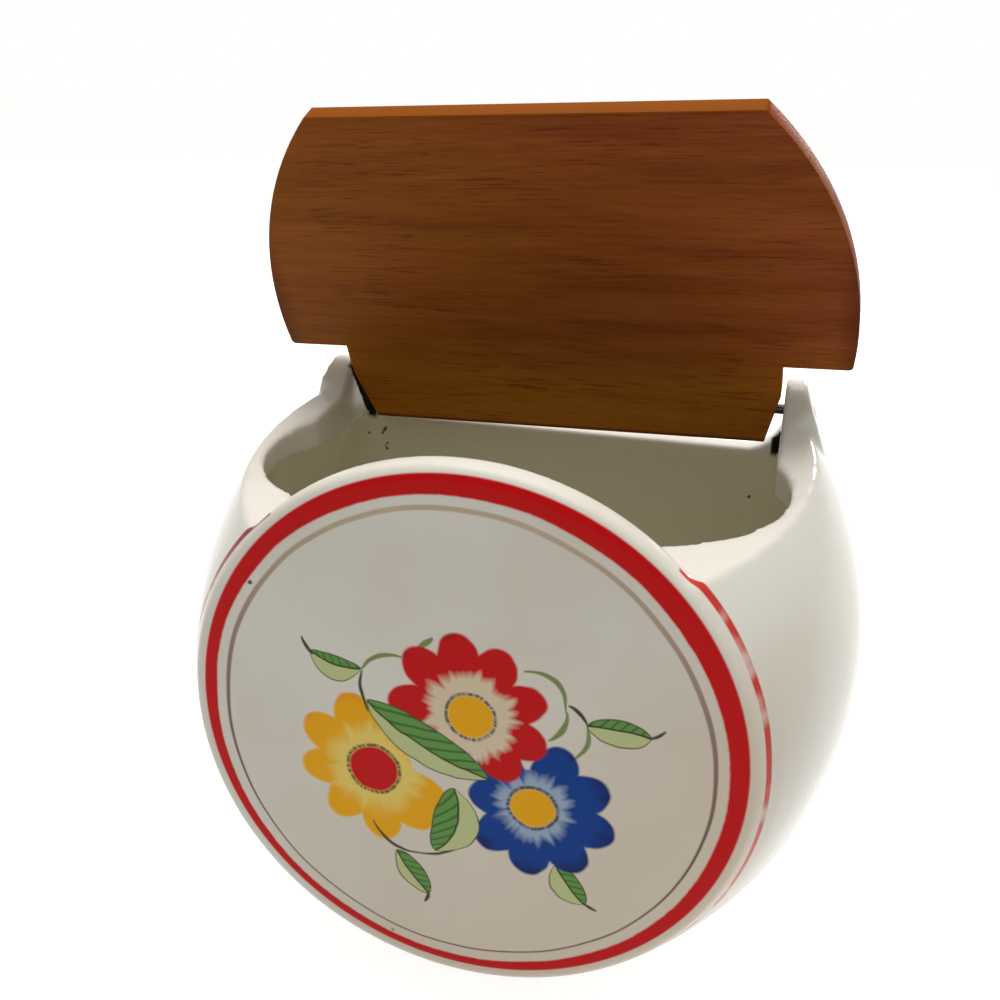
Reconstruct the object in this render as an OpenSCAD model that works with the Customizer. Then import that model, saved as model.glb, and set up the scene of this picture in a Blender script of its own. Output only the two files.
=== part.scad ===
// Wall-hung salt box: a slip-cast, glazed body with a round flat front, a barrel side that is
// a surface of revolution about the front's axis, a sloping mouth with a thick lip, two ears,
// and a wooden lid whose tongue turns between the ears on two short pins.
// It is drawn with the lid standing open, as it is used. X is to the right, +Z up, and the
// front faces -Y. The origin lies under the middle of the box, at the level of its foot.

/* [Front and body] */
// Radius of the flat round front, out to where its edge starts to round
face_r = 53; // [50:0.5:56]
// Rounding of the front's edge
edge_r = 2.75; // [1.5:0.25:3.25]
// Largest radius of the barrel body
body_r = 74; // [68:0.5:80]
// How far behind the front the body is widest
belly_y = 61; // [52:1:68]
// Depth from the flat front to the flat back
body_d = 89.5; // [86:0.5:96]
// Height of the front's centre above the flat foot
foot_h = 69; // [64:0.5:71]
// Thickness of the curved side wall
wall_t = 5.2; // [4:0.1:6.5]
// Thickness of the front, and of the crest that it makes above the mouth
front_t = 7; // [5:0.5:8]
// Thickness of the back wall
back_t = 5; // [4:0.5:7]

/* [Mouth] */
// Height of the rim's plane above the front's centre, measured at the front
rim_h = 38; // [34:0.5:42]
// Rise of the rim towards the back, in degrees
rim_tilt = 6; // [3:0.5:8]
// Clear width of the mouth between the ears
mouth_w = 103.4; // [98:0.2:106]
// Clear width of the mouth where it is widest
mouth_max_w = 110.4; // [107:0.2:112]
// How far behind the front the mouth is widest
mouth_y = 41; // [38:1:44]
// Radius of the mouth's front corners in plan
mouth_corner_r = 25.7; // [22:0.1:27]
// Width of the shelf between the crest and the middle of the mouth's front edge
mouth_shelf = 2; // [1:0.25:4]
// Height above the front's centre where the thick lip starts
lip_z = 36; // [32:0.5:36.5]
// Height above the front's centre of the notch in the back wall
notch_z = 37; // [34:0.5:39]
// Radius of the notch's lower corners
notch_r = 8; // [4:0.5:10]

/* [Hanging hole] */
// Radius of the hole in the back wall
hang_r = 4; // [3:0.5:5]
// Height of the hole above the front's centre
hang_z = 16; // [8:1:18]

/* [Ears] */
// How far before the flat back the hinge pins lie
hinge_back = 12; // [10.5:0.5:13.5]
// Radius of the left ear's rounded top, about the pin
left_ear_r = 4.4; // [4:0.1:7]
// Radius of the right ear's rounded top, about the pin
right_ear_r = 7.1; // [4:0.1:7.4]
// How far the ear's front foot lies before the pin
ear_foot = 9.7; // [8.8:0.1:10]
// Distance of the ear's outer face from its inner face, level with the pin
ear_t = 6.8; // [5.6:0.2:7.2]
// Lean of the ear's outer face towards the middle, in degrees
ear_lean = 20; // [8:1:21]
// How far below the lip the ear's outer face runs on into the barrel
ear_root = 8; // [6:0.5:10]
// How far back the ear's outer front corner lies from its inner front corner
ear_skew = 8; // [5:0.5:10]
// How far the ear's outer face draws in from the pin to the back
ear_draw = 3; // [1:0.5:4]

/* [Lid] */
// Thickness of the lid
lid_t = 4.6; // [4:0.2:7]
// Greatest width of the lid
lid_w = 131.4; // [124:0.2:138]
// Radius of the lid's curved sides
lid_side_r = 70.5; // [66:0.1:80]
// How far before the pins the lid is widest
lid_wide_s = 19.6; // [15:0.2:26]
// How far the lid is set askew on its pins, in degrees
lid_skew = 1.9; // [0:0.1:2]
// Narrowing of the tongue on each side, from its root to its end
tongue_taper = 3.2; // [0:0.1:5]
// How far before the pins the tongue starts to narrow
tongue_straight = 3.8; // [0:0.2:8]
// Radius of the rounded outer corners beside the notches
lobe_r = 1; // [0.5:0.25:5]
// Gap between the lid's front edge and the crest, in the middle
front_gap = 1.6; // [1.4:0.1:2.4]
// Gap between the tongue and each ear
side_gap = 0.7; // [0.4:0.1:1.2]
// Least gap between the lid's notches and the ears' front feet
notch_gap = 0.4; // [0.2:0.1:1.2]
// Gap left under the closed lid
seat_gap = 0.3; // [0.2:0.05:0.6]
// How far the lid is opened from its seat, in degrees
lid_open = 71.4; // [0:0.1:102]

/* [Pins] */
// Radius of the hinge pins
pin_r = 1.1; // [0.8:0.1:1.4]
// Running clearance between a pin and the hole in its ear
pin_play = 0.06; // [0.03:0.01:0.1]
// Depth to which a pin is pressed into the lid
pin_grip = 10; // [6:0.5:16]
// How far a pin's outer end lies inside the ear's outer face
pin_recess = 0.8; // [0.4:0.1:1.5]

/* [Hidden] */
$fn = 96;
// A length past the whole model, and how far a cut runs past the face that it opens.
far = 200;
over = 1;
edge_steps = 6;

// The barrel side is one arc, widest at belly_y, that runs smoothly into the front's rounded edge.
side_r = (pow(body_r - face_r, 2) + pow(belly_y - edge_r, 2) - pow(edge_r, 2))
    / (2 * (body_r - face_r - edge_r));
side_c = [body_r - side_r, belly_y];
edge_c = [face_r, edge_r];
edge_end = side_c + (edge_c - side_c) * side_r / (side_r - edge_r);
edge_turn = acos((edge_end[1] - edge_r) / -edge_r);

// The hinge axis lies half a lid's thickness above the rim, square to it.
hinge_y = body_d - hinge_back;
function rim_z(y) = rim_h + y * tan(rim_tilt);
hinge_z = rim_z(hinge_y) + (lid_t / 2 + seat_gap) / cos(rim_tilt);
mouth_half = mouth_w / 2;
ear_out = mouth_half + ear_t;
ear_z = lip_z - ear_root;

// Lid lengths are measured from the hinge axis: forwards is plus, and the tongue is behind. The
// skew carries the lid's edges beside the ears this far towards them.
lid_front = (hinge_y - front_t - front_gap) / cos(rim_tilt) - lid_t / 2 * tan(rim_tilt);
lid_shift = mouth_half * sin(lid_skew);
lid_notch = ear_foot + notch_gap + lid_shift;
tongue_len = (hinge_back - seat_gap - lid_t / 2 * sin(rim_tilt)) / cos(rim_tilt) - lid_shift;
tongue_half = mouth_half - side_gap;

// Everything is drawn about the front's centre and then set on the foot.
module on_foot() {
    translate([0, -body_d / 2, foot_h]) children();
}

// Turns a half section, drawn as radius and depth, about the front's axis.
module turned() {
    rotate([-90, 0, 0]) rotate_extrude() children();
}

// Stands an outline drawn as depth and height up across the whole width.
module across(w) {
    rotate([90, 0, 90]) translate([0, 0, -w / 2]) linear_extrude(w) children();
}

// Half section of the barrel side between two depths, drawn in by a wall's thickness.
module side_section(inset, y0, y1) {
    intersection() {
        translate(side_c) circle(r = side_r - inset);
        translate([0, y0]) square([body_r, y1 - y0]);
    }
}

// Points of the front's rounded edge, from the flat face through an angle.
function edge_arc(turn) =
    [for (i = [0:edge_steps]) let (a = turn * i / edge_steps) edge_c + edge_r * [sin(a), -cos(a)]];

module barrel() {
    turned() {
        side_section(0, edge_end[1], body_d);
        polygon(concat([[0, edge_end[1]], [0, 0]], edge_arc(edge_turn)));
    }
}

// The hollow keeps the wall's thickness, has a flat floor over the foot and ends under the lip.
module hollow() {
    intersection() {
        turned() side_section(wall_t, front_t, body_d - back_t);
        translate([-far / 2, 0, wall_t - foot_h]) cube([far, far, foot_h - wall_t + lip_z]);
    }
}

// The crest is the part of the round front that stands above the rim, rounded on both edges.
module crest() {
    front_arc = edge_arc(90);
    back_arc = [for (i = [edge_steps:-1:0]) [front_arc[i][0], front_t - front_arc[i][1]]];
    intersection() {
        turned() polygon(concat([[0, 0]], front_arc, back_arc, [[0, front_t]]));
        above_rim(over);
    }
}

// Everything above the rim's plane, or above one that lies a little lower.
module above_rim(lower) {
    across(far) polygon([
        [-over, rim_z(-over) - lower], [far, rim_z(far) - lower], [far, far], [-over, far]
    ]);
}

// Plan of the mouth: a slightly bowed front, two round corners and straight sides at the ears.
module mouth_plan() {
    front_y = front_t + mouth_shelf;
    corner_x = mouth_max_w / 2 - mouth_corner_r;
    bow_r = (pow(corner_x, 2) + pow(mouth_y - front_y, 2) - pow(mouth_corner_r, 2))
        / (2 * (mouth_y - front_y - mouth_corner_r));
    meet_x = corner_x * bow_r / (bow_r - mouth_corner_r);
    intersection() {
        translate([0, front_y + bow_r]) circle(r = bow_r);
        translate([-meet_x, 0]) square([2 * meet_x, mouth_y]);
    }
    for (s = [-1, 1]) for_side(s) intersection() {
        translate([corner_x, mouth_y]) circle(r = mouth_corner_r);
        translate([meet_x - over, 0]) square(far);
    }
    translate([-mouth_half, mouth_y - over]) square([mouth_w, body_d - back_t - mouth_y + over]);
}

module mouth() {
    translate([0, 0, lip_z - over]) linear_extrude(far) mouth_plan();
}

// The notch that lets the lid's tongue pass over the back wall.
module back_notch() {
    translate([0, body_d + over, 0]) rotate([90, 0, 0]) linear_extrude(back_t + 2 * over) {
        translate([-mouth_half, notch_z + notch_r]) square([mouth_w, far]);
        translate([-mouth_half + notch_r, notch_z]) square([mouth_w - 2 * notch_r, far]);
        for (s = [-1, 1]) translate([s * (mouth_half - notch_r), notch_z + notch_r]) circle(r = notch_r);
    }
}

// Side outline of an ear: a round top about the pin, on a foot that widens to the rim.
module ear_side(top_r) {
    pin = [hinge_y, hinge_z];
    foot = [hinge_y - ear_foot, rim_z(hinge_y - ear_foot)];
    heel = [body_d, rim_z(body_d)];
    translate(pin) circle(r = top_r);
    polygon([
        [foot[0], ear_z], foot, tangent_point(foot, pin, top_r, -1), pin,
        tangent_point(heel, pin, top_r, 1), heel, [heel[0], ear_z]
    ]);
}

// Where a line from point p touches a circle, on one side of it.
function tangent_point(p, c, r, turn) =
    let (v = p - c, a = atan2(v[1], v[0]) + turn * acos(r / norm(v))) c + r * [cos(a), sin(a)];

// The right-hand ear: its side, front and plan outlines, each run through the others.
module ear(top_r) {
    top = hinge_z + top_r + over;
    slope = tan(ear_lean);
    low_x = ear_out + (hinge_z - ear_z) * slope;
    foot_y = hinge_y - ear_foot;
    in_x = mouth_half - over;
    intersection() {
        across(far) ear_side(top_r);
        translate([0, far, 0]) rotate([90, 0, 0]) linear_extrude(far) polygon([
            [in_x, ear_z], [low_x, ear_z], [ear_out + (hinge_z - top) * slope, top], [in_x, top]
        ]);
        linear_extrude(far) polygon([
            [in_x, foot_y - over], [low_x, foot_y + ear_skew], [low_x, hinge_y + 2 * pin_r],
            [low_x - ear_draw, body_d], [in_x, body_d]
        ]);
    }
}

module body() {
    color("ivory") on_foot() {
        difference() {
            union() {
                for_side(-1) ear(left_ear_r);
                for_side(1) ear(right_ear_r);
                difference() {
                    barrel();
                    above_rim(0);
                }
            }
            hollow();
            mouth();
            back_notch();
            translate([-far / 2, -over, -far - foot_h]) cube(far);
            translate([0, body_d + over, hang_z]) rotate([90, 0, 0])
                cylinder(r = hang_r, h = back_t + 2 * over);
            translate([0, hinge_y, hinge_z])
                for (s = [-1, 1]) on_axis(s, pin_r + pin_play, mouth_half - over, far / 2);
        }
        crest();
    }
}

// Outline of the lid seen from above, with its front at -Y and the hinge axis at y = 0.
module lid_plan() {
    arc_c = [lid_w / 2 - lid_side_r, -lid_wide_s];
    tip_half = tongue_half - tongue_taper;
    lobe_y = -lid_notch - lobe_r;
    lobe_x = arc_c[0] + sqrt(pow(lid_side_r - lobe_r, 2) - pow(lobe_y - arc_c[1], 2));
    lobe_out = arc_c + ([lobe_x, lobe_y] - arc_c) * lid_side_r / (lid_side_r - lobe_r);
    for (s = [-1, 1]) for_side(s) {
        translate([lobe_x, lobe_y]) circle(r = lobe_r);
        intersection() {
            translate(arc_c) circle(r = lid_side_r);
            polygon([
                [-over, -lid_front], [far, -lid_front], [far, lobe_out[1]], lobe_out,
                [lobe_x, -lid_notch], [tongue_half, -lid_notch], [tongue_half, -tongue_straight],
                [tip_half, tongue_len], [-over, tongue_len]
            ]);
        }
    }
}

// Mirrors what is drawn for the right side (1) to the left (-1).
module for_side(s) {
    mirror([s < 0 ? 1 : 0, 0, 0]) children();
}

// A cylinder along X from x0 to x1 on the hinge axis, on one side.
module on_axis(s, r, x0, x1) {
    translate([s * x0, 0, 0]) rotate([0, s * 90, 0]) cylinder(r = r, h = x1 - x0);
}

module lid() {
    color("sienna") on_foot() translate([0, hinge_y, hinge_z]) rotate([rim_tilt - lid_open, 0, 0])
        difference() {
            translate([0, 0, -lid_t / 2]) linear_extrude(lid_t) rotate(-lid_skew) lid_plan();
            for (s = [-1, 1]) on_axis(s, pin_r, tongue_half - pin_grip, tongue_half + over);
        }
}

module pin(s) {
    color("silver") on_foot() translate([0, hinge_y, hinge_z])
        on_axis(s, pin_r, tongue_half - pin_grip, ear_out - pin_recess);
}

body();
lid();
pin(-1);  // left_pin
pin(1);  // right_pin
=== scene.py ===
"""Looks of the wall salt box: softened glazed body with a painted front, oiled lid and steel pins."""

import math
import bmesh
import bpy
from mathutils import Matrix, Vector

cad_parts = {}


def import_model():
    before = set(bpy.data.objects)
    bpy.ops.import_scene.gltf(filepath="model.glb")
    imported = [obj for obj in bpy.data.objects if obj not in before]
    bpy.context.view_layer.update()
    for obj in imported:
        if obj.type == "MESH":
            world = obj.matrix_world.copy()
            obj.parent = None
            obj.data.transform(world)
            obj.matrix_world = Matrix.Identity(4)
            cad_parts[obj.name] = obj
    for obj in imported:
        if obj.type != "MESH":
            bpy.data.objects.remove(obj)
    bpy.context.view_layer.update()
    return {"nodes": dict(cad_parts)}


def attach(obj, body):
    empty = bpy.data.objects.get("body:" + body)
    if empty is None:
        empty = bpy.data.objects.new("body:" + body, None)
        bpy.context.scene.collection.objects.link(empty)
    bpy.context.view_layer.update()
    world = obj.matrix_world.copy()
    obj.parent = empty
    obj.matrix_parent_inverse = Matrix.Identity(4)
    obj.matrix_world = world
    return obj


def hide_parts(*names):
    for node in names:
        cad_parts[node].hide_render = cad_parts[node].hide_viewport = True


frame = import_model()
nodes = frame["nodes"]

MM = 0.001
# The front's centre: its height over the foot, and how far the flat front lies before the origin.
FOOT_H = 69.0
FRONT_Y = -44.75
# The hinge axis, in metres, and the turn that lays the lid's own X and Y along the open lid.
HINGE = Vector((0, 0.03275, 0.11776))
LID_TURN = math.radians(6 - 71.4)
LID_SKEW = math.radians(1.9)
PIN_HOLE_R = 1.16 * MM
# The barrel side's arc as radius about the front's axis and depth, and the arc's own radius, in mm.
SIDE_C = (-30.84, 61.0)
SIDE_R = 104.84
# The remesh step and the smoothing steps that soften the cast body, and how far back, in mm, the
# painted material reaches from the front.
VOXEL = 0.8 * MM
SMOOTH_STEPS = 4
PAINTED_DEPTH = 7.5
# The width of the rounding on the lid's edges.
LID_EASE = 0.5 * MM


def linear(red, green, blue):
    """A colour given as it looks on a screen, 0 to 255, in the linear values that a shader takes."""
    parts = [c / 255 for c in (red, green, blue)]
    return tuple(c / 12.92 if c <= 0.04045 else ((c + 0.055) / 1.055) ** 2.4 for c in parts) + (1,)


# ---------------------------------------------------------------- node arithmetic
class Paint:
    """A material written as arithmetic: each call adds one node and returns its output."""

    def __init__(self, name):
        self.material = bpy.data.materials.new(name)
        self.material.use_nodes = True
        self.tree = self.material.node_tree
        self.shader = self.tree.nodes["Principled BSDF"]

    def put(self, value, socket):
        if isinstance(value, bpy.types.NodeSocket):
            self.tree.links.new(value, socket)
        else:
            socket.default_value = value

    def add(self, kind, inputs, output=0, **settings):
        node = self.tree.nodes.new("ShaderNode" + kind)
        for key, value in settings.items():
            setattr(node, key, value)
        for key, value in inputs.items():
            self.put(value, node.inputs[key])
        return node.outputs[output]

    def math(self, operation, *values, clamp=False):
        return self.add("Math", dict(enumerate(values)), operation=operation, use_clamp=clamp)

    def vector(self, operation, *values, output=0):
        return self.add("VectorMath", dict(enumerate(values)), output, operation=operation)

    def span(self, value, start, end, low=0.0, high=1.0, smooth=True):
        """Carries value from start..end to low..high, and holds it outside."""
        inputs = {"Value": value, "From Min": start, "From Max": end, "To Min": low, "To Max": high}
        return self.add("MapRange", inputs, interpolation_type="SMOOTHSTEP" if smooth else "LINEAR")

    def mix(self, share, under, over):
        inputs = {"Factor": share, 6: under, 7: over}
        return self.add("Mix", inputs, 2, data_type="RGBA", clamp_factor=True)

    def ramp(self, value, stops):
        """A colour that runs through the stops, each given as a place and a colour."""
        node = self.tree.nodes.new("ShaderNodeValToRGB")
        self.put(value, node.inputs[0])
        points = node.color_ramp.elements
        while len(points) < len(stops):
            points.new(0.5)
        for point, (place, colour) in zip(points, stops):
            point.position = place
            point.color = colour
        return node.outputs[0]

    def noise(self, at, scale, detail=2.0, rough=0.5, colour=False):
        inputs = {"Vector": at, "Scale": scale, "Detail": detail, "Roughness": rough}
        return self.add("TexNoise", inputs, 1 if colour else 0, noise_dimensions="3D")

    def split(self, at):
        """The three coordinates of a vector."""
        node = self.tree.nodes.new("ShaderNodeSeparateXYZ")
        self.put(at, node.inputs[0])
        return node.outputs

    def place(self):
        return self.add("TexCoord", {}, 3)

    def millimetres(self, at, origin=(0, 0, 0)):
        moved = self.vector("SUBTRACT", at, origin)
        return self.vector("MULTIPLY", moved, (1 / MM,) * 3)

    def finish(self, **inputs):
        for key, value in inputs.items():
            self.put(value, self.shader.inputs[key.replace("_", " ")])
        return self.material


# ---------------------------------------------------------------- painted motif
RED = linear(206, 6, 8)
DEEP_RED = linear(168, 2, 8)
CREAM = linear(226, 208, 178)
YELLOW = linear(244, 176, 12)
ORANGE = linear(236, 148, 8)
PALE_YELLOW = linear(240, 212, 110)
NAVY = linear(0, 14, 88)
BLUE = linear(0, 62, 146)
PALE_BLUE = linear(160, 178, 200)
LEAF = linear(104, 156, 78)
DARK_LEAF = linear(58, 98, 40)
LIGHT_LEAF = linear(198, 206, 148)
OLIVE = linear(66, 68, 44)
STEM = linear(132, 144, 84)
GOLD = linear(198, 180, 154)
MAUVE = linear(150, 124, 112)
BROWN = linear(88, 62, 44)


def edge(paint, distance, soft=0.35):
    """1 inside a shape, 0 outside, from the distance past its edge in millimetres."""
    return paint.span(distance, soft, -soft)


def petal(paint, at, centre, tip, half):
    """Distance past the edge of one long round petal, whose round end is about the point tip."""
    out = Vector(tip) - Vector(centre)
    middle = Vector(centre) + out * 0.84
    turn = math.atan2(out.y, out.x)
    inputs = {"Vector": at, "Location": (middle.x, middle.y, 0), "Rotation": (0, 0, turn),
              "Scale": (half * 1.3, half, 1)}
    local = paint.add("Mapping", inputs, vector_type="TEXTURE")
    length = paint.vector("LENGTH", local, output=1)
    return paint.math("MULTIPLY_ADD", length, half, -half)


def rays(paint, at, centre, away, count):
    """Noise that runs out from a centre like brush hairs, about count of them round the circle."""
    out = paint.vector("NORMALIZE", paint.vector("SUBTRACT", at, (*centre, 0)))
    spread = paint.vector("MULTIPLY_ADD", out, (count / 6.3,) * 3, (7.0 * centre[0], centre[1], 0))
    lift = paint.add("CombineXYZ", {2: paint.math("MULTIPLY", away, 0.12)})
    return paint.noise(paint.vector("ADD", spread, lift), 1.0, 1.0)


def flower(paint, under, at, centre, tips, half, stops, heart, heart_r):
    """A round flower laid over the colour under it: petals, a paler star, a heart and its ticks."""
    away = paint.vector("DISTANCE", at, (*centre, 0), output=1)
    shape = paint.math("SUBTRACT", away, 8.4)
    for tip in tips:
        shape = paint.math("SMOOTH_MIN", shape, petal(paint, at, centre, tip, half), 0.5)
    hairs = rays(paint, at, centre, away, 30)
    streak_and_shade = paint.math("MULTIPLY_ADD", hairs, 6.0, paint.math("SUBTRACT", away, 3.0))
    colour = paint.ramp(paint.math("DIVIDE", streak_and_shade, 18.0), stops)
    under = paint.mix(edge(paint, shape, 0.3), under, colour)
    around = paint.math("ABSOLUTE", paint.math("SUBTRACT", away, heart_r + 0.4))
    ticks = paint.span(rays(paint, at, centre, away, 90), 0.38, 0.54, 0.35, 0.9)
    ticks = paint.math("MULTIPLY", edge(paint, paint.math("SUBTRACT", around, 0.35), 0.25), ticks)
    under = paint.mix(ticks, under, OLIVE)
    return paint.mix(edge(paint, paint.math("SUBTRACT", away, heart_r), 0.3), under, heart)


def leaf_frame(paint, at, base, tip, bend):
    """Places on a bent leaf or stroke: along it (0 at the base, 1 at the tip), across it in
    millimetres, and a hump that is above 0 only between its ends."""
    run = Vector(tip) - Vector(base)
    turn = math.atan2(run.y, run.x)
    inputs = {"Vector": at, "Location": (*base, 0), "Rotation": (0, 0, turn),
              "Scale": (run.length, 1, 1)}
    local = paint.add("Mapping", inputs, vector_type="TEXTURE")
    along, off_axis, _ = paint.split(local)
    hump = paint.math("MULTIPLY", along, paint.math("SUBTRACT", 1.0, along))
    across = paint.math("MULTIPLY_ADD", hump, -4 * bend, off_axis)
    return along, across, hump


def leaf(paint, under, at, base, tip, bend, left, right, flip=1):
    """A two-tone leaf laid over a colour: dark on its left, light on its right, veined and outlined."""
    along, across, hump = leaf_frame(paint, at, base, tip, bend)
    inside = paint.math("GREATER_THAN", hump, 0.0)
    full = paint.math("POWER", paint.math("MULTIPLY", paint.math("MAXIMUM", hump, 0.0), 4.0), 0.7)
    side = paint.span(across, -0.15, 0.15)
    reach = paint.math("MULTIPLY", full, paint.span(across, -0.1, 0.1, right, left))
    past = paint.math("SUBTRACT", paint.math("ABSOLUTE", across), reach)
    slant = paint.math("MULTIPLY_ADD", across, -0.07 * flip, along)
    veins = paint.math("SINE", paint.math("MULTIPLY", slant, 40.0))
    green = paint.mix(paint.span(veins, 0.35, 1.0, 0.0, 0.8), LEAF, DARK_LEAF)
    colour = paint.mix(side if flip > 0 else paint.math("SUBTRACT", 1.0, side), LIGHT_LEAF, green)
    rib = paint.span(paint.math("ABSOLUTE", across), 0.32, 0.08)
    outline = paint.span(paint.math("ABSOLUTE", past), 0.42, 0.1)
    colour = paint.mix(paint.math("MAXIMUM", outline, rib), colour, OLIVE)
    return paint.mix(paint.math("MULTIPLY", edge(paint, past, 0.2), inside), under, colour)


def stroke(paint, under, at, start, end, bend, half, colour=OLIVE):
    """One brush stroke laid over a colour, thick in the middle and thin at its ends."""
    _, across, hump = leaf_frame(paint, at, start, end, bend)
    full = paint.math("MULTIPLY_ADD", paint.math("MAXIMUM", hump, 0.0), 2.4 * half, 0.4 * half)
    past = paint.math("SUBTRACT", paint.math("ABSOLUTE", across), full)
    inside = paint.math("GREATER_THAN", hump, 0.0)
    return paint.mix(paint.math("MULTIPLY", edge(paint, past, 0.22), inside), under, colour)


def spray(paint, base, at):
    """The painted spray of three flowers with their leaves, in millimetres about the front's centre."""
    c = base
    c = stroke(paint, c, at, (12.6, 18.4), (20.7, 11.0), 3.2, 0.55, STEM)
    c = stroke(paint, c, at, (20.9, 11.4), (17.6, 4.6), 1.0, 0.55, STEM)
    c = stroke(paint, c, at, (21.2, 12.7), (24.8, 9.4), 0.5, 0.4)
    c = stroke(paint, c, at, (24.6, 9.4), (22.4, 1.6), 1.4, 0.45, STEM)
    c = leaf(paint, c, at, (24.6, 9.4), (36.3, 8.7), 0.4, 2.2, 3.6)
    c = stroke(paint, c, at, (35.8, 8.7), (38.6, 10.8), -0.3, 0.35)
    c = leaf(paint, c, at, (19.8, -22.6), (25.7, -30.7), -0.6, 2.8, 3.6)
    c = stroke(paint, c, at, (25.2, -30.2), (28.2, -31.7), -0.1, 0.35)
    c = flower(paint, c, at, (-16.9, -8.5), YELLOW_TIPS, 4.2, YELLOW_STOPS, RED, 5.0)
    c = flower(paint, c, at, (15.0, -10.6), BLUE_TIPS, 4.3, BLUE_STOPS, YELLOW, 4.3)
    c = stroke(paint, c, at, (-17.5, -20.6), (-8.3, -26.6), -1.8, 0.35)
    c = stroke(paint, c, at, (-9.0, -26.6), (2.4, -21.0), -1.6, 0.3)
    c = leaf(paint, c, at, (-0.6, -9.4), (-4.4, -25.2), 2.6, 4.6, 5.0, -1)
    c = leaf(paint, c, at, (-12.7, -26.7), (-6.0, -36.0), -0.6, 3.2, 2.4)
    c = stroke(paint, c, at, (-6.2, -35.4), (-6.9, -38.5), 0.3, 0.4)
    c = stroke(paint, c, at, (-7.4, 19.4), (-4.4, 22.2), 0.2, 0.6, STEM)
    c = flower(paint, c, at, (2.8, 7.0), RED_TIPS, 4.1, RED_STOPS, YELLOW, 4.4)
    c = stroke(paint, c, at, (-18.7, 13.4), (-10.2, 17.2), 1.6, 0.5, STEM)
    c = stroke(paint, c, at, (-18.6, 13.2), (-17.6, 4.4), -0.8, 0.35)
    c = leaf(paint, c, at, (-18.7, 13.5), (-29.2, 15.6), 1.0, 3.6, 2.0, -1)
    c = stroke(paint, c, at, (-28.6, 14.8), (-30.6, 18.4), 0.2, 0.4)
    c = leaf(paint, c, at, (-18.0, 6.8), (6.4, -6.0), -2.0, 5.0, 3.8)
    return c


RED_TIPS = [(-7.4, 17.0), (0.1, 21.0), (8.0, 18.9), (13.8, 11.9), (14.0, 3.2), (9.4, -2.5),
            (-10.3, 7.9), (-6.0, 0.0)]
YELLOW_TIPS = [(-21.2, 4.6), (-28.1, -1.1), (-28.6, -10.0), (-23.6, -17.7), (-15.4, -21.4),
               (-8.0, -17.5), (-5.7, -12.7), (-12.0, 3.0)]
BLUE_TIPS = [(19.7, 0), (26.0, -5.0), (27.1, -13.3), (22.5, -20.3), (14.4, -22.6), (7.4, -18.6),
             (6.6, -9.8), (8.0, -2.0)]
RED_STOPS = [(0.0, CREAM), (0.43, CREAM), (0.53, RED), (0.9, RED), (1.0, DEEP_RED)]
YELLOW_STOPS = [(0.0, PALE_YELLOW), (0.42, PALE_YELLOW), (0.6, YELLOW), (0.85, YELLOW), (1.0, ORANGE)]
BLUE_STOPS = [(0.0, PALE_BLUE), (0.33, PALE_BLUE), (0.46, BLUE), (0.7, BLUE), (0.92, NAVY)]


# ---------------------------------------------------------------- materials
WHITE = linear(230, 226, 215)
WARM_WHITE = linear(223, 216, 201)
INSIDE = linear(236, 231, 210)
# Near-black for the glaze's dark specks and for the painted shade on the ears' inner faces.
SPECK_AND_SHADE_DARK = linear(30, 30, 22)
# The front's rings, as radii in mm: the thin gold line, and the red band's inner and outer edge.
# The outer edge is drawn about a centre of its own, so the band is wider at the top right.
GOLD_LINE_R = 47.8
BAND_R = 50.3
BAND_OUTER_R = 53.1
BAND_OUTER_CENTRE = (0.5, 1.0, 0)
# The thin red line round the flanks, as a depth behind the front in mm.
FLANK_LINE_DEPTH = 3.4
FLANK_RED = linear(206, 58, 48)
DARK_FLANK_RED = linear(150, 22, 16)
# The warmer, slightly darker colour that the front turns to towards its lower right.
LOWER_RIGHT_COLOUR = linear(224, 208, 186)
# Painted shade runs down the ears' inner faces in a slanting streak beside the lid's tongue; this points
# across it.
SHADE_STREAK_WAY = (0, 0.837, 0.547)
# Small dark marks in the glaze, each as a place (across, depth, up) in mm and a radius.
MARKS = [((-47.3, 84.5, 32.9), 0.8), ((-47.7, 84.5, 32.2), 0.9), ((-48.1, 84.5, 31.5), 0.8),
         ((-47.0, 84.5, 28.8), 0.8), ((-47.5, 84.5, 28.1), 0.7), ((-47.1, 84.5, 27.3), 0.8),
         ((-52.0, 84.5, 31.0), 0.7), ((45.9, 84.5, 24.5), 0.8), ((-40.6, 0.0, 28.2), 0.9),
         ((-14.1, 0.0, -47.5), 0.8)]


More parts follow.
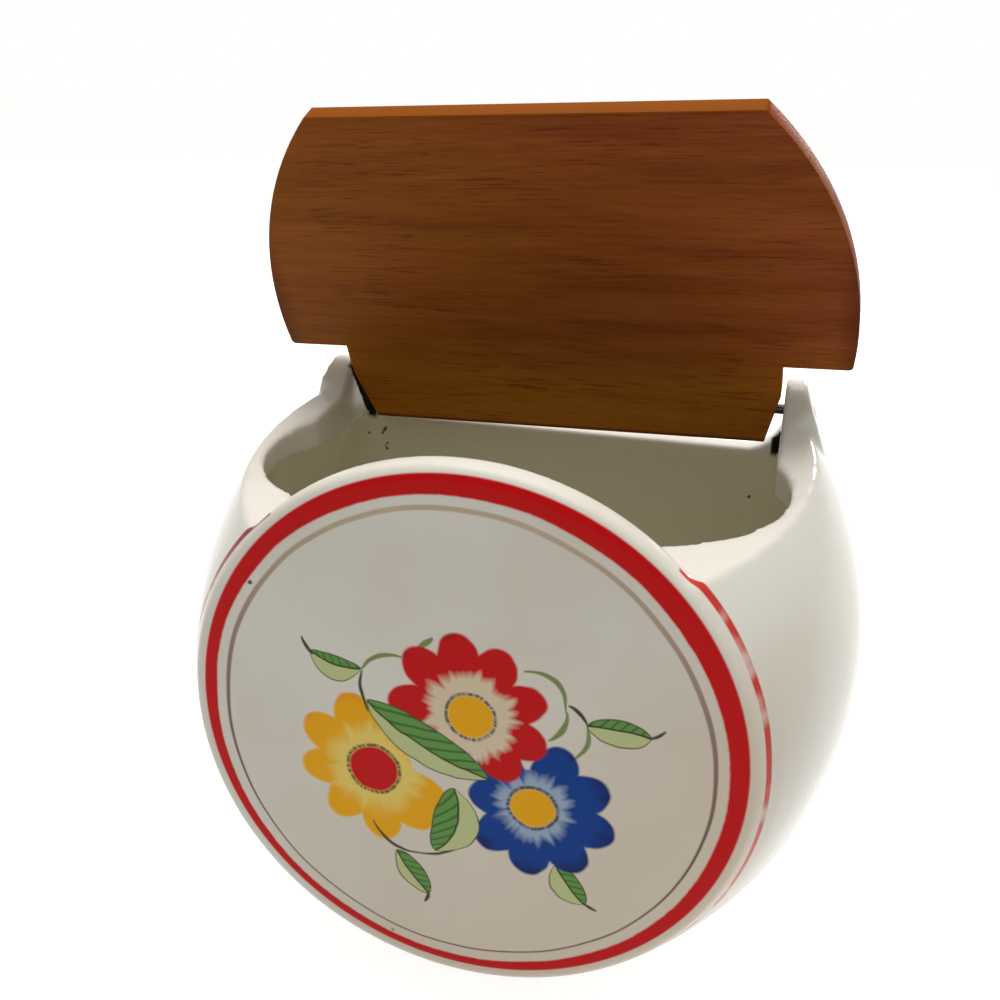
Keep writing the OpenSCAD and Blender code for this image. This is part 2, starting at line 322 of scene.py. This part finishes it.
def glaze_base(paint, at):
    """The glaze's own colour, off-white and warmer inside the box, and where painted shade darkens the
    ears' inner faces.
    """
    cloud = paint.noise(at, 0.028, 3.0)
    colour = paint.mix(paint.span(cloud, 0.35, 0.7), WHITE, WARM_WHITE)
    across, depth, up = paint.split(at)
    out = paint.vector("LENGTH", paint.add("CombineXYZ", {0: across, 1: up}), output=1)
    profile = paint.add("CombineXYZ", {0: out, 1: depth})
    from_arc = paint.vector("DISTANCE", profile, (*SIDE_C, 0), output=1)
    under_skin = paint.math("SUBTRACT", SIDE_R, from_arc)
    inside = paint.math("MULTIPLY", paint.span(under_skin, 3.6, 5.0), paint.span(depth, 5.0, 6.5))
    inside = paint.math("MULTIPLY", inside, paint.span(depth, 86.5, 85.0))
    inside = paint.math("MULTIPLY", inside, paint.span(up, 37.0, 34.5))
    colour = paint.mix(inside, colour, INSIDE)
    cells = paint.add("TexVoronoi", {"Vector": at, "Scale": 0.09}, 0)
    pick = paint.noise(at, 0.055, 0.0)
    speck = paint.math("MULTIPLY", paint.span(cells, 0.05, 0.03), paint.span(pick, 0.62, 0.66))
    speck = paint.math("MULTIPLY", speck, paint.span(depth, 3.0, 4.0))
    ragged = paint.math("MULTIPLY", paint.noise(at, 1.6, 1.0), 0.8)
    for place, radius in MARKS:
        away = paint.math("SUBTRACT", paint.vector("DISTANCE", at, place, output=1), radius)
        speck = paint.math("MAXIMUM", speck, edge(paint, paint.math("ADD", away, ragged), 0.15))
    colour = paint.mix(paint.math("MULTIPLY", speck, 0.85), colour, SPECK_AND_SHADE_DARK)
    # Painted shade: a dark slanting streak on the ears' inner faces, beside the lid's tongue.
    shade_streak = paint.vector("DOT_PRODUCT", at, SHADE_STREAK_WAY, output=1)
    shade_streak = paint.math("MULTIPLY_ADD", ragged, 1.5, shade_streak)
    side = paint.math("ABSOLUTE", across)
    limits = [(shade_streak, 90.1, 90.7), (shade_streak, 93.8, 93.2), (up, 34.5, 36.5), (up, 53.0, 50.5),
              (side, 49.3, 50.0), (side, 52.6, 52.2)]
    painted_shade = 1.0
    for value, start, end in limits:
        painted_shade = paint.math("MULTIPLY", painted_shade, paint.span(value, start, end))
    return paint.mix(painted_shade, colour, SPECK_AND_SHADE_DARK), painted_shade


def glaze_material(name, painted):
    """Clear glaze over off-white, with the painted front's lines and flowers where it is painted."""
    paint = Paint(name)
    place = paint.place()
    at = paint.millimetres(place, (0, FRONT_Y * MM, FOOT_H * MM))
    # The second value is where the painted shade lies; the glaze's shine is taken away there.
    colour, streak_and_shade = glaze_base(paint, at)
    if painted:
        colour = painted_front(paint, at, colour)
    wave = paint.noise(at, 0.045, 1.0)
    bump = paint.add("Bump", {"Height": wave, "Strength": 0.12, "Distance": 0.002})
    shine = paint.span(streak_and_shade, 0.0, 1.0, 0.1 if painted else 0.16, 0.0)
    return paint.finish(Base_Color=colour, Roughness=0.18, IOR=1.45, Specular_IOR_Level=shine,
                        Normal=bump)


def painted_front(paint, at, colour):
    """The bands and the spray, on the flat front and round its edge."""
    across, depth, up = paint.split(at)
    flat = paint.add("CombineXYZ", {0: across, 1: up})
    wobble = paint.vector("SUBTRACT", paint.noise(flat, 0.22, 1.0, colour=True), (0.5, 0.5, 0.5))
    drawn = paint.vector("MULTIPLY_ADD", wobble, (0.8, 0.8, 0), flat)
    out = paint.vector("LENGTH", flat, output=1)
    shake = paint.math("MULTIPLY_ADD", paint.noise(flat, 0.05, 1.0), 0.9, out)
    round_out = paint.math("SUBTRACT", shake, 0.45)
    shaken = paint.math("MULTIPLY_ADD", paint.noise(flat, 0.5, 1.0), 0.25, round_out)
    # The front turns warmer and a little darker towards its lower right.
    lower_right_tone = paint.span(paint.math("SUBTRACT", across, up), -10.0, 60.0, 0.0, 0.7)
    painted = spray(paint, paint.mix(lower_right_tone, colour, LOWER_RIGHT_COLOUR), drawn)
    line = paint.math("ABSOLUTE", paint.math("SUBTRACT", round_out, GOLD_LINE_R))
    line = paint.math("SUBTRACT", line, paint.span(up, -35.0, 25.0, 0.16, 0.5))
    height = paint.math("MULTIPLY_ADD", up, 0.01, 0.5)
    tint = paint.ramp(height, [(0.25, BROWN), (0.6, MAUVE), (0.95, GOLD)])
    painted = paint.mix(edge(paint, line, 0.22), painted, tint)
    band = edge(paint, paint.math("SUBTRACT", BAND_R, shaken), 0.25)
    rim = paint.vector("DISTANCE", flat, BAND_OUTER_CENTRE, output=1)
    band = paint.math("MULTIPLY", band, paint.span(rim, BAND_OUTER_R + 0.25, BAND_OUTER_R - 0.2))
    painted = paint.mix(band, painted, RED)
    colour = paint.mix(paint.span(depth, 3.0, 2.0), colour, painted)
    left = paint.math("MULTIPLY", paint.span(across, 0.0, -30.0), paint.span(up, 38.0, 12.0, -1.2, 0.8))
    sway = paint.math("SUBTRACT", round_out, out)
    line_depth = paint.math("ADD", sway, paint.math("ADD", left, FLANK_LINE_DEPTH))
    thin = paint.math("ABSOLUTE", paint.math("SUBTRACT", depth, line_depth))
    uneven = paint.span(paint.noise(flat, 0.09, 2.0), 0.34, 0.5, 0.3, 1.0)
    height = paint.math("MULTIPLY_ADD", across, 0.02, up)
    sides = paint.math("MULTIPLY", uneven, paint.span(height, 41.5, 40.9))
    sides = paint.math("MULTIPLY", sides, paint.span(thin, 0.85, 0.5))
    red = paint.mix(paint.span(across, -10.0, -30.0), FLANK_RED, DARK_FLANK_RED)
    return paint.mix(sides, colour, red)


# The wood's two tones, painted light that turns its tongue amber, its dark dashes, the worn front edge,
# painted shade on the tongue's end and the darkened rims.
GOLDEN_STOPS = [(0.3, linear(116, 60, 16)), (0.5, linear(142, 80, 24)), (0.72, linear(160, 94, 34))]
RUSSET_STOPS = [(0.3, linear(110, 46, 18)), (0.5, linear(136, 66, 30)), (0.72, linear(154, 80, 40))]
TONGUE_PAINTED_LIGHT = linear(196, 128, 30)
DASH_BROWN = linear(74, 30, 10)
FRONT_EDGE_BROWN = linear(144, 80, 32)
TONGUE_END_SHADE = linear(96, 30, 14)
RIM_BROWN = linear(66, 22, 10)


def wood_material():
    """Oiled golden-brown wood with its grain along the lid's own X, redder towards its right side."""
    paint = Paint("oiled_wood")
    at = paint.add("Mapping", {"Vector": paint.millimetres(paint.place()), "Rotation": (0, 0, LID_SKEW)})
    across, back, _ = paint.split(at)
    bend = paint.noise(paint.vector("MULTIPLY", at, (0.012, 0.03, 0.03)), 1.0, 2.0, colour=True)
    warped = paint.vector("MULTIPLY_ADD", bend, (0.3, 0.6, 0.6),
                          paint.vector("MULTIPLY", at, (0.008, 0.11, 0.11)))
    broad = paint.noise(warped, 1.6, 3.0, 0.55)
    fine = paint.noise(paint.vector("MULTIPLY", at, (0.07, 1.5, 1.5)), 1.0, 3.0, 0.7)
    tone = paint.math("MULTIPLY_ADD", fine, 0.4, paint.math("MULTIPLY", broad, 0.6))
    golden = paint.ramp(tone, GOLDEN_STOPS)
    russet = paint.ramp(tone, RUSSET_STOPS)
    patch = paint.noise(paint.vector("MULTIPLY", at, (0.02, 0.03, 0.03)), 1.0, 1.0)
    reddish = paint.math("ADD", paint.span(across, -60.0, 60.0, -0.5, 0.2), patch)
    reddish = paint.math("ADD", reddish, paint.span(back, -55.0, -72.0, 0.0, 0.4))
    reddish = paint.math("SUBTRACT", reddish, paint.span(back, -18.0, 4.0, 0.0, 0.5))
    colour = paint.mix(reddish, golden, russet)
    # Painted light: the tongue, which the body shades, is lightened towards amber.
    colour = paint.mix(paint.span(back, -24.0, 6.0, 0.0, 0.5), colour, TONGUE_PAINTED_LIGHT)
    dash = paint.noise(paint.vector("MULTIPLY", at, (0.13, 2.4, 2.4)), 1.0, 1.0, 0.4)
    here = paint.noise(paint.vector("MULTIPLY", at, (0.03, 0.06, 0.06)), 1.0, 1.0)
    dash = paint.math("MULTIPLY", paint.span(dash, 0.56, 0.72), paint.span(here, 0.35, 0.6, 0.15, 0.5))
    colour = paint.mix(dash, colour, DASH_BROWN)
    colour = paint.mix(paint.span(back, -68.6, -68.9), colour, FRONT_EDGE_BROWN)
    # Painted shade on the tongue's rounded end edge, which faces down.
    colour = paint.mix(paint.span(back, 8.5, 9.4, 0.0, 0.8), colour, TONGUE_END_SHADE)
    rim = paint.math("ABSOLUTE", across)
    colour = paint.mix(paint.span(rim, 60.0, 67.0, 0.0, 0.6), colour, RIM_BROWN)
    bump = paint.add("Bump", {"Height": tone, "Strength": 0.2, "Distance": 0.0005})
    shine = paint.span(back, -68.6, -68.0, 0.0, 0.06)
    return paint.finish(Base_Color=colour, Roughness=0.5, IOR=1.45, Specular_IOR_Level=shine,
                        Normal=bump)


def steel_material():
    """Steel with fine rings along the pin, darkened nearly to black as painted shade for the gap round
    the pins.
    """
    paint = Paint("shade_dark_steel")
    at = paint.millimetres(paint.place())
    rings = paint.noise(paint.vector("MULTIPLY", at, (9.0, 0.4, 0.4)), 1.0, 2.0)
    # Near-black steel colours: painted shade for the dark gap round the pins.
    colour = paint.mix(rings, linear(58, 56, 54), linear(84, 82, 80))
    rough = paint.span(rings, 0.3, 0.7, 0.25, 0.45)
    return paint.finish(Base_Color=colour, Metallic=1.0, Roughness=rough)


# ---------------------------------------------------------------- pieces
def new_piece(name, mesh, node, materials):
    """Links a mesh as a visible piece that stands for a CAD node."""
    piece = bpy.data.objects.new(name, mesh)
    bpy.context.scene.collection.objects.link(piece)
    piece.data.materials.clear()
    for material in materials:
        piece.data.materials.append(material)
    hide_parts(node)
    return piece


def pin_shape(radius, start, end):
    """A cylinder on the hinge axis from start to end along X, in metres."""
    shape = bmesh.new()
    bmesh.ops.create_cone(shape, cap_ends=True, segments=64, radius1=radius, radius2=radius,
                          depth=abs(end - start))
    shape.transform(Matrix.Rotation(math.pi / 2, 4, "Y"))
    shape.transform(Matrix.Translation(HINGE + Vector(((start + end) / 2, 0, 0))))
    mesh = bpy.data.meshes.new("pin_shape")
    shape.to_mesh(mesh)
    shape.free()
    return mesh


def evaluated(piece):
    """The mesh that a piece's modifiers make."""
    graph = bpy.context.evaluated_depsgraph_get()
    return bpy.data.meshes.new_from_object(piece.evaluated_get(graph))


def softened_body():
    """The CAD solid's shape with the edges that slip casting and glaze leave.

    The pin holes are plugged first, so that the remesh doesn't ruffle them, and bored again after.
    """
    shape = bmesh.new()
    shape.from_mesh(nodes["body"].data)
    for side in (-1, 1):
        shape.from_mesh(pin_shape(PIN_HOLE_R + 0.2 * MM, side * 0.0518, side * 0.0578))
    mesh = bpy.data.meshes.new("body_blank")
    shape.to_mesh(mesh)
    shape.free()
    blank = bpy.data.objects.new("blank", mesh)
    bpy.context.scene.collection.objects.link(blank)
    remesh = blank.modifiers.new("remesh", "REMESH")
    remesh.mode = "VOXEL"
    remesh.voxel_size = VOXEL
    soften = blank.modifiers.new("soften", "SMOOTH")
    soften.factor = 0.5
    soften.iterations = SMOOTH_STEPS
    for side in (-1, 1):
        hole = bpy.data.objects.new("hole", pin_shape(PIN_HOLE_R, side * 0.050, side * 0.064))
        bpy.context.scene.collection.objects.link(hole)
        cut = blank.modifiers.new("cut", "BOOLEAN")
        cut.object = hole
        cut.operation = "DIFFERENCE"
        cut.solver = "EXACT"
    made = evaluated(blank)
    for spare in [blank] + [m.object for m in blank.modifiers if m.type == "BOOLEAN"]:
        bpy.data.objects.remove(spare)
    return made


def build_body():
    """The cast body, painted as far back as the front's material reaches and plain glaze behind."""
    mesh = softened_body()
    piece = new_piece("cast_body", mesh, "body",
                      [glaze_material("glaze", False), glaze_material("glaze_painted", True)])
    for face in piece.data.polygons:
        face.use_smooth = True
        face.material_index = 1 if face.center.y < (FRONT_Y + PAINTED_DEPTH) * MM else 0
    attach(piece, "body")
    return piece


def build_lid():
    """The lid in its own frame: X across, Y from front to back, the hinge axis at the origin."""
    shape = bmesh.new()
    shape.from_mesh(nodes["lid"].data)
    own = Matrix.Translation(HINGE) @ Matrix.Rotation(LID_TURN, 4, "X")
    shape.transform(own.inverted())
    bmesh.ops.remove_doubles(shape, verts=shape.verts, dist=1e-6)
    bmesh.ops.dissolve_limit(shape, angle_limit=math.radians(1), verts=shape.verts, edges=shape.edges)
    mesh = bpy.data.meshes.new("lid_shape")
    shape.to_mesh(mesh)
    shape.free()
    piece = new_piece("wood_lid", mesh, "lid", [wood_material()])
    piece.matrix_world = own
    ease = piece.modifiers.new("ease", "BEVEL")
    ease.width = LID_EASE
    ease.segments = 3
    ease.limit_method = "ANGLE"
    ease.angle_limit = math.radians(40)
    for face in piece.data.polygons:
        face.use_smooth = True
    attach(piece, "lid")
    return piece


def dress_pins():
    """Gives the pins, which stay the CAD's own solids, the steel material."""
    steel = steel_material()
    for name in ("left_pin", "right_pin"):
        for slot in nodes[name].material_slots:
            slot.material = steel


# ---------------------------------------------------------------- stage
CAMERA_PLACE = (0.05331, -0.20287, 0.18332)
CAMERA_TURN = (0.2791, 0.3702, 0.0108)
LENS = 37.8
SENSOR = 36


def camera():
    """The camera of the picture, looking down and to the left by its yaw, pitch and roll."""
    yaw, pitch, roll = CAMERA_TURN
    ahead = Vector((-math.sin(yaw) * math.cos(pitch), math.cos(yaw) * math.cos(pitch), -math.sin(pitch)))
    right = ahead.cross(Vector((0, 0, 1))).normalized()
    up = right.cross(ahead)
    right_rolled = right * math.cos(roll) + up * math.sin(roll)
    up_rolled = up * math.cos(roll) - right * math.sin(roll)
    data = bpy.data.cameras.new("camera")
    data.lens = LENS
    data.sensor_width = SENSOR
    seen = bpy.data.objects.new("camera", data)
    turn = Matrix((right_rolled, up_rolled, -ahead)).transposed().to_4x4()
    seen.matrix_world = Matrix.Translation(CAMERA_PLACE) @ turn
    bpy.context.scene.collection.objects.link(seen)
    bpy.context.scene.camera = seen


def shown_white(tree):
    """1 for the camera and for what glaze and steel mirror, 0 for all other light."""
    path = tree.nodes.new("ShaderNodeLightPath")
    seen = path.outputs["Is Camera Ray"]
    for kind in ("Is Glossy Ray", "Is Transmission Ray"):
        both = tree.nodes.new("ShaderNodeMath")
        both.operation = "MAXIMUM"
        tree.links.new(seen, both.inputs[0])
        tree.links.new(path.outputs[kind], both.inputs[1])
        seen = both.outputs[0]
    return seen


def world():
    """Soft light from all round, seen as plain white."""
    made = bpy.data.worlds.new("studio")
    made.use_nodes = True
    tree = made.node_tree
    light = tree.nodes["Background"]
    light.inputs["Color"].default_value = linear(244, 240, 232)
    light.inputs["Strength"].default_value = 0.24
    plain = tree.nodes.new("ShaderNodeBackground")
    plain.inputs["Color"].default_value = (1, 1, 1, 1)
    mix = tree.nodes.new("ShaderNodeMixShader")
    tree.links.new(shown_white(tree), mix.inputs[0])
    tree.links.new(light.outputs[0], mix.inputs[1])
    tree.links.new(plain.outputs[0], mix.inputs[2])
    tree.links.new(mix.outputs[0], tree.nodes["World Output"].inputs[0])
    bpy.context.scene.world = made


FLOOR_HALF = 30.0


def floor():
    """A pale floor that looks white and still takes the object's soft shadow."""
    mesh = bpy.data.meshes.new("floor")
    half = FLOOR_HALF
    mesh.from_pydata([(-half, -half, 0), (half, -half, 0), (half, half, 0), (-half, half, 0)], [],
                     [(0, 1, 2, 3)])
    made = bpy.data.objects.new("floor", mesh)
    bpy.context.scene.collection.objects.link(made)
    paint = Paint("floor")
    mesh.materials.append(paint.finish(Base_Color=linear(242, 242, 242), Roughness=0.9))
    glow = paint.math("MULTIPLY", shown_white(paint.tree), 0.8)
    paint.finish(Emission_Color=(1, 1, 1, 1), Emission_Strength=glow, Specular_IOR_Level=0.0)


# Each lamp: its name, its place and size in metres, and its power in watts.
LAMPS = [("top", (0.05, 0.02, 1.25), (0.9, 0.8), 14.5), ("right", (1.2, 0.1, 0.6), (0.3, 0.9), 0.3),
         ("behind", (0.5, 1.3, 0.5), (0.25, 0.25), 2.5)]
LAMP_AIM = Vector((0, 0, 0.07))


def lamp(name, place, size, power):
    """One rectangular lamp that points at the middle of the box."""
    data = bpy.data.lights.new(name, "AREA")
    data.shape = "RECTANGLE"
    data.size, data.size_y = size
    data.energy = power
    made = bpy.data.objects.new(name, data)
    made.location = place
    made.rotation_mode = "QUATERNION"
    made.rotation_quaternion = (LAMP_AIM - Vector(place)).to_track_quat("-Z", "Y")
    bpy.context.scene.collection.objects.link(made)


build_body()
build_lid()
dress_pins()
camera()
world()
floor()
for settings in LAMPS:
    lamp(*settings)
bpy.context.scene.view_settings.view_transform = "Standard"
